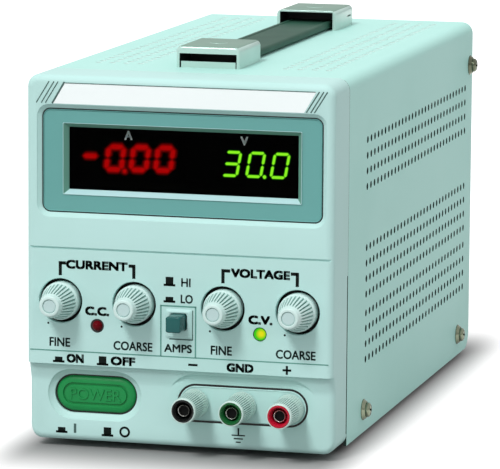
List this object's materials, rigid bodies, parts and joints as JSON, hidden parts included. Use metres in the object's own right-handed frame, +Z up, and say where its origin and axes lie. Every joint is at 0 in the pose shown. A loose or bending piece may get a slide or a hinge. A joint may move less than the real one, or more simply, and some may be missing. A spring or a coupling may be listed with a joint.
{
  "type": "bench power supply",
  "caption": "Desktop linear DC supply with moulded front, twin digital readouts, ribbed knobs, push buttons, binding posts, pierced sheet cover and strap handle.",
  "frame": {"origin": "on the bench top, under the middle of the overall box", "axes": "+X to the user's right across the front, +Y from the front to the rear, +Z up"},
  "size_m": [0.1348, 0.3006, 0.1623],
  "materials": {
    "mint_plastic": "fine-textured moulded front",
    "mint_paint": "satin paint on sheet steel",
    "teal_plastic": "satin moulded frame",
    "knob_plastic": "satin ribbed plastic",
    "black_plastic": "moulded",
    "smoked_acrylic": "dark polished pane",
    "red_plastic": "moulded",
    "green_plastic": "moulded",
    "lamp_red": "clear tinted lens",
    "lamp_green": "clear tinted lens",
    "chrome": "bright plated",
    "steel": "plated sheet",
    "strap_vinyl": "soft grained strap",
    "black_anodised": "black anodised",
    "rubber": "matt",
    "laminations": "varnished steel laminations",
    "tape_yellow": "polyester tape over the winding",
    "board_green": "solder mask"
  },
  "bodies": {
    "case": {"bottom_chassis": "steel", "bridge_rectifier": "black_plastic", "control_current_coarse": "steel", "control_current_fine": "steel", "control_voltage_coarse": "steel", "control_voltage_fine": "steel", "cover_screw_left_front": "chrome", "cover_screw_left_rear": "chrome", "cover_screw_left_upper": "chrome", "cover_screw_right_front": "chrome", "cover_screw_right_rear": "chrome", "cover_screw_right_upper": "chrome", "current_display": "black_plastic", "display_board": "board_green", "display_frame": "teal_plastic", "display_window": "smoked_acrylic", "foot_front_left": "rubber", "foot_front_right": "rubber", "foot_rear_left": "rubber", "foot_rear_right": "rubber", "front_bezel": "mint_plastic", "handle_cap_front": "chrome", "handle_cap_rear": "chrome", "handle_strap": "strap_vinyl", "heat_sink": "black_anodised", "lamp_constant_current": "lamp_red", "lamp_constant_voltage": "lamp_green", "main_board": "board_green", "mains_inlet": "black_plastic", "power_switch": "black_plastic", "range_switch": "black_plastic", "rear_panel": "mint_paint", "reservoir_capacitor": "black_plastic", "terminal_stud_ground": "chrome", "terminal_stud_negative": "chrome", "terminal_stud_positive": "chrome", "top_cover": "mint_paint", "transformer_core": "laminations", "transformer_winding": "tape_yellow", "voltage_display": "black_plastic", "voltage_selector": "black_plastic"},
    "knob_current_fine": {"knob_current_fine": "knob_plastic", "shaft_current_fine": "steel"},
    "knob_current_coarse": {"knob_current_coarse": "knob_plastic", "shaft_current_coarse": "steel"},
    "knob_voltage_fine": {"knob_voltage_fine": "knob_plastic", "shaft_voltage_fine": "steel"},
    "knob_voltage_coarse": {"knob_voltage_coarse": "knob_plastic", "shaft_voltage_coarse": "steel"},
    "range_button": {"range_button": "teal_plastic"},
    "power_button": {"power_button": "green_plastic"},
    "insert_negative": {"terminal_insert_negative": "black_plastic"},
    "sleeve_negative": {"terminal_sleeve_negative": "knob_plastic"},
    "insert_ground": {"terminal_insert_ground": "green_plastic"},
    "sleeve_ground": {"terminal_sleeve_ground": "knob_plastic"},
    "insert_positive": {"terminal_insert_positive": "red_plastic"},
    "sleeve_positive": {"terminal_sleeve_positive": "knob_plastic"},
    "fuse_drawer": {"fuse_drawer": "black_plastic"},
    "selector_slider": {"selector_slider": "red_plastic"}
  },
  "joints": [
    {"name": "current_fine_turn", "type": "hinge", "parent": "case", "child": "knob_current_fine", "pos_m": [-0.0495, -0.13475, 0.0613], "axis": [0, -1, 0], "range_deg": [-150, 150]},
    {"name": "current_coarse_turn", "type": "hinge", "parent": "case", "child": "knob_current_coarse", "pos_m": [-0.0185, -0.13475, 0.0613], "axis": [0, -1, 0], "range_deg": [-150, 150]},
    {"name": "voltage_fine_turn", "type": "hinge", "parent": "case", "child": "knob_voltage_fine", "pos_m": [0.0185, -0.13475, 0.0613], "axis": [0, -1, 0], "range_deg": [-150, 150]},
    {"name": "voltage_coarse_turn", "type": "hinge", "parent": "case", "child": "knob_voltage_coarse", "pos_m": [0.0495, -0.13475, 0.0613], "axis": [0, -1, 0], "range_deg": [-150, 150]},
    {"name": "range_button_press", "type": "slide", "parent": "case", "child": "range_button", "axis": [0, 1, 0], "range_m": [0, 0.003], "stiffness_N_per_m": 200},
    {"name": "power_button_release", "type": "slide", "parent": "case", "child": "power_button", "axis": [0, -1, 0], "range_m": [0, 0.003]},
    {"name": "terminal_negative_lift", "type": "slide", "parent": "case", "child": "insert_negative", "axis": [0, -1, 0], "range_m": [0, 0.00279]},
    {"name": "terminal_negative_turn", "type": "hinge", "parent": "insert_negative", "child": "sleeve_negative", "pos_m": [0.006, -0.13475, 0.0214], "axis": [0, -1, 0], "range_deg": [0, 1440]},
    {"name": "terminal_ground_lift", "type": "slide", "parent": "case", "child": "insert_ground", "axis": [0, -1, 0], "range_m": [0, 0.00279]},
    {"name": "terminal_ground_turn", "type": "hinge", "parent": "insert_ground", "child": "sleeve_ground", "pos_m": [0.0258, -0.13475, 0.0214], "axis": [0, -1, 0], "range_deg": [0, 1440]},
    {"name": "terminal_positive_lift", "type": "slide", "parent": "case", "child": "insert_positive", "axis": [0, -1, 0], "range_m": [0, 0.00279]},
    {"name": "terminal_positive_turn", "type": "hinge", "parent": "insert_positive", "child": "sleeve_positive", "pos_m": [0.0456, -0.13475, 0.0214], "axis": [0, -1, 0], "range_deg": [0, 1440]},
    {"name": "fuse_drawer_slide", "type": "slide", "parent": "case", "child": "fuse_drawer", "axis": [0, 1, 0], "range_m": [0, 0.02]},
    {"name": "voltage_selector_slide", "type": "slide", "parent": "case", "child": "selector_slider", "axis": [1, 0, 0], "range_m": [0, 0.0054]}
  ],
  "couplings": [
    {"joint": "terminal_negative_turn", "follows": "terminal_negative_lift", "rad_per_m": 8976},
    {"joint": "terminal_ground_turn", "follows": "terminal_ground_lift", "rad_per_m": 8976},
    {"joint": "terminal_positive_turn", "follows": "terminal_positive_lift", "rad_per_m": 8976}
  ]
}
